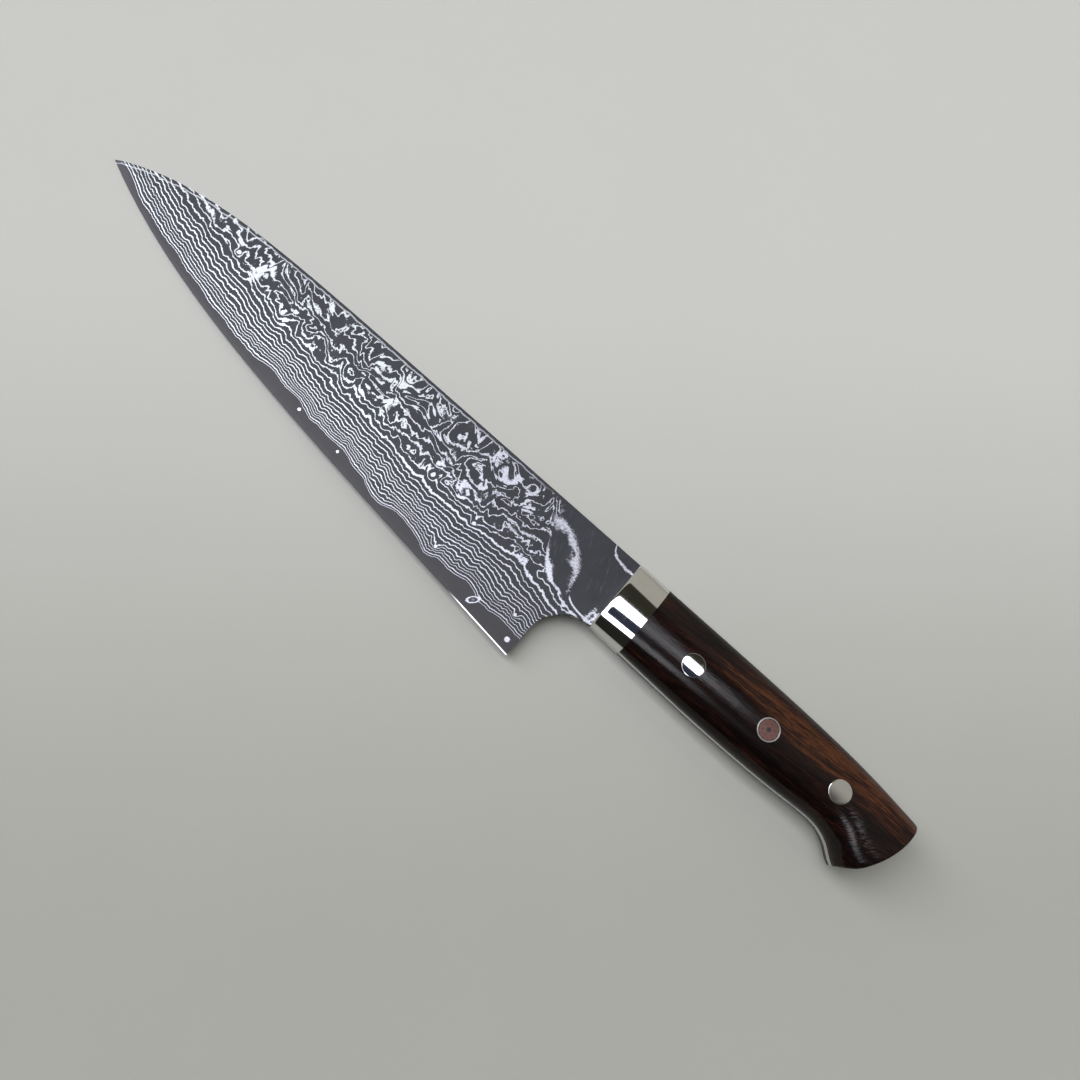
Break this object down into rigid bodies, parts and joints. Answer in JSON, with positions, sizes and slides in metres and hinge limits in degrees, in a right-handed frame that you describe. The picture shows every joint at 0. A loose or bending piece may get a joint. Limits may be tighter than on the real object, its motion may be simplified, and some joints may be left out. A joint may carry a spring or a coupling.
{
  "type": "chef knife",
  "caption": "Kitchen knife with a laminated patterned steel blade on a full tang, a polished bolster, and wooden scales held by flush rivets and a mosaic pin.",
  "frame": {"origin": "centre of the bottom of the bounding box, with the knife lying on the right side of its handle", "axes": "+X along the knife from the tip towards the butt, +Y from the cutting edge towards the spine, +Z out of the left face of the blade"},
  "size_m": [0.306, 0.0472, 0.0194],
  "materials": {
    "core_steel": "satin",
    "damascus_steel": "etched",
    "bolster_steel": "mirror polished",
    "scale_wood": "lacquered",
    "rivet_steel": "polished",
    "pin_tube_steel": "polished",
    "pin_copper": "polished",
    "pin_centre_steel": "satin",
    "pin_resin": "cast"
  },
  "bodies": {
    "root": {"blade_core": "core_steel", "cladding_left": "damascus_steel", "cladding_right": "damascus_steel", "bolster_left": "bolster_steel", "bolster_right": "bolster_steel", "bolster_dowel_upper": "rivet_steel", "bolster_dowel_lower": "rivet_steel", "scale_left": "scale_wood", "scale_right": "scale_wood", "front_rivet_female": "rivet_steel", "front_rivet_male": "rivet_steel", "rear_rivet_female": "rivet_steel", "rear_rivet_male": "rivet_steel", "mosaic_pin_tube": "pin_tube_steel", "mosaic_pin_rods": "pin_copper", "mosaic_pin_centre": "pin_centre_steel", "mosaic_pin_resin": "pin_resin"}
  },
  "joints": []
}
